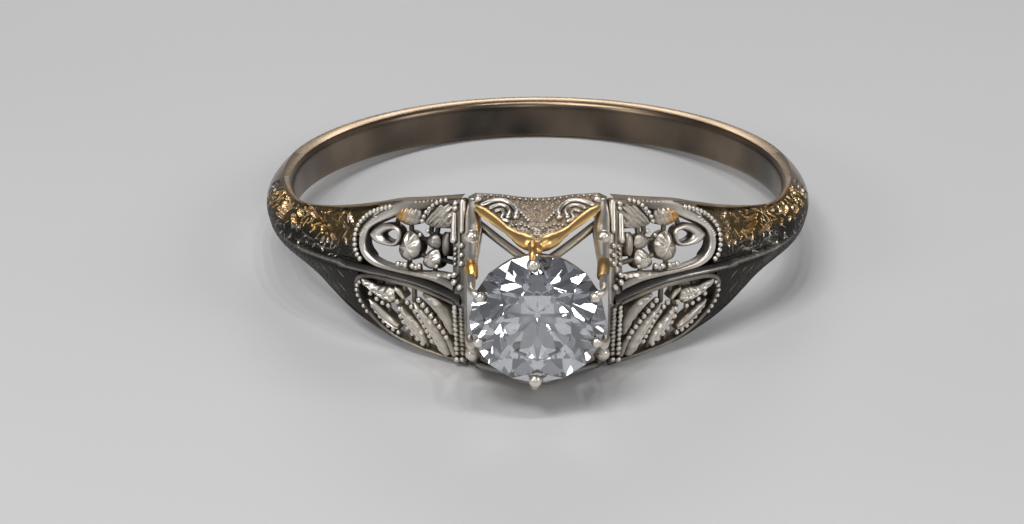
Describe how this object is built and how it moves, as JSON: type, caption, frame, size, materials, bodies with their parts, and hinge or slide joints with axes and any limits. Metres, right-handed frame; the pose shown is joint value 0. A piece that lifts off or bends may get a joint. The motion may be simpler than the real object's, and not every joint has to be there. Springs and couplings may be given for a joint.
{
  "type": "engagement ring",
  "caption": "Filigree engagement ring with engraved, pierced shoulders, a knife-edge ridge, yellow-gold chevrons and a round diamond in a hexagonal claw head.",
  "frame": {"origin": "centre of the finger hole, on the ring's mid-plane", "axes": "+Z along the finger, -Y from the finger hole towards the stone, +X to the right seen from the stone's side"},
  "size_m": [0.019, 0.0222, 0.006],
  "materials": {
    "shank_white_gold": "worn polished white gold",
    "engraved_white_gold": "engraved white gold with warm toned plating wear",
    "dark_white_gold": "polished white gold, darkened in the recesses",
    "filigree_white_gold": "bright-cut white gold filigree with beaded edges",
    "yellow_gold": "polished yellow gold",
    "diamond": "clear faceted diamond"
  },
  "bodies": {
    "root": {"shank": "shank_white_gold", "shoulder_left": "engraved_white_gold", "shoulder_right": "engraved_white_gold", "ridge_left": "dark_white_gold", "ridge_right": "dark_white_gold", "arch_upper_left": "filigree_white_gold", "arch_upper_right": "filigree_white_gold", "bloom_upper_left": "filigree_white_gold", "bloom_upper_right": "filigree_white_gold", "spray_upper_left": "yellow_gold", "spray_upper_right": "yellow_gold", "frame_lower_left": "filigree_white_gold", "frame_lower_right": "filigree_white_gold", "leaves_lower_left": "filigree_white_gold", "leaves_lower_right": "filigree_white_gold", "fan_lower_left": "filigree_white_gold", "fan_lower_right": "filigree_white_gold", "crossbar_left": "filigree_white_gold", "crossbar_right": "filigree_white_gold", "plate_upper": "filigree_white_gold", "plate_lower": "filigree_white_gold", "chevron_upper": "yellow_gold", "chevron_lower": "yellow_gold", "brace_upper": "dark_white_gold", "brace_lower": "dark_white_gold", "post_upper_left": "filigree_white_gold", "post_upper_right": "filigree_white_gold", "post_lower_left": "filigree_white_gold", "post_lower_right": "filigree_white_gold", "prongs": "filigree_white_gold", "seat_ring": "filigree_white_gold", "diamond": "diamond"}
  },
  "joints": []
}
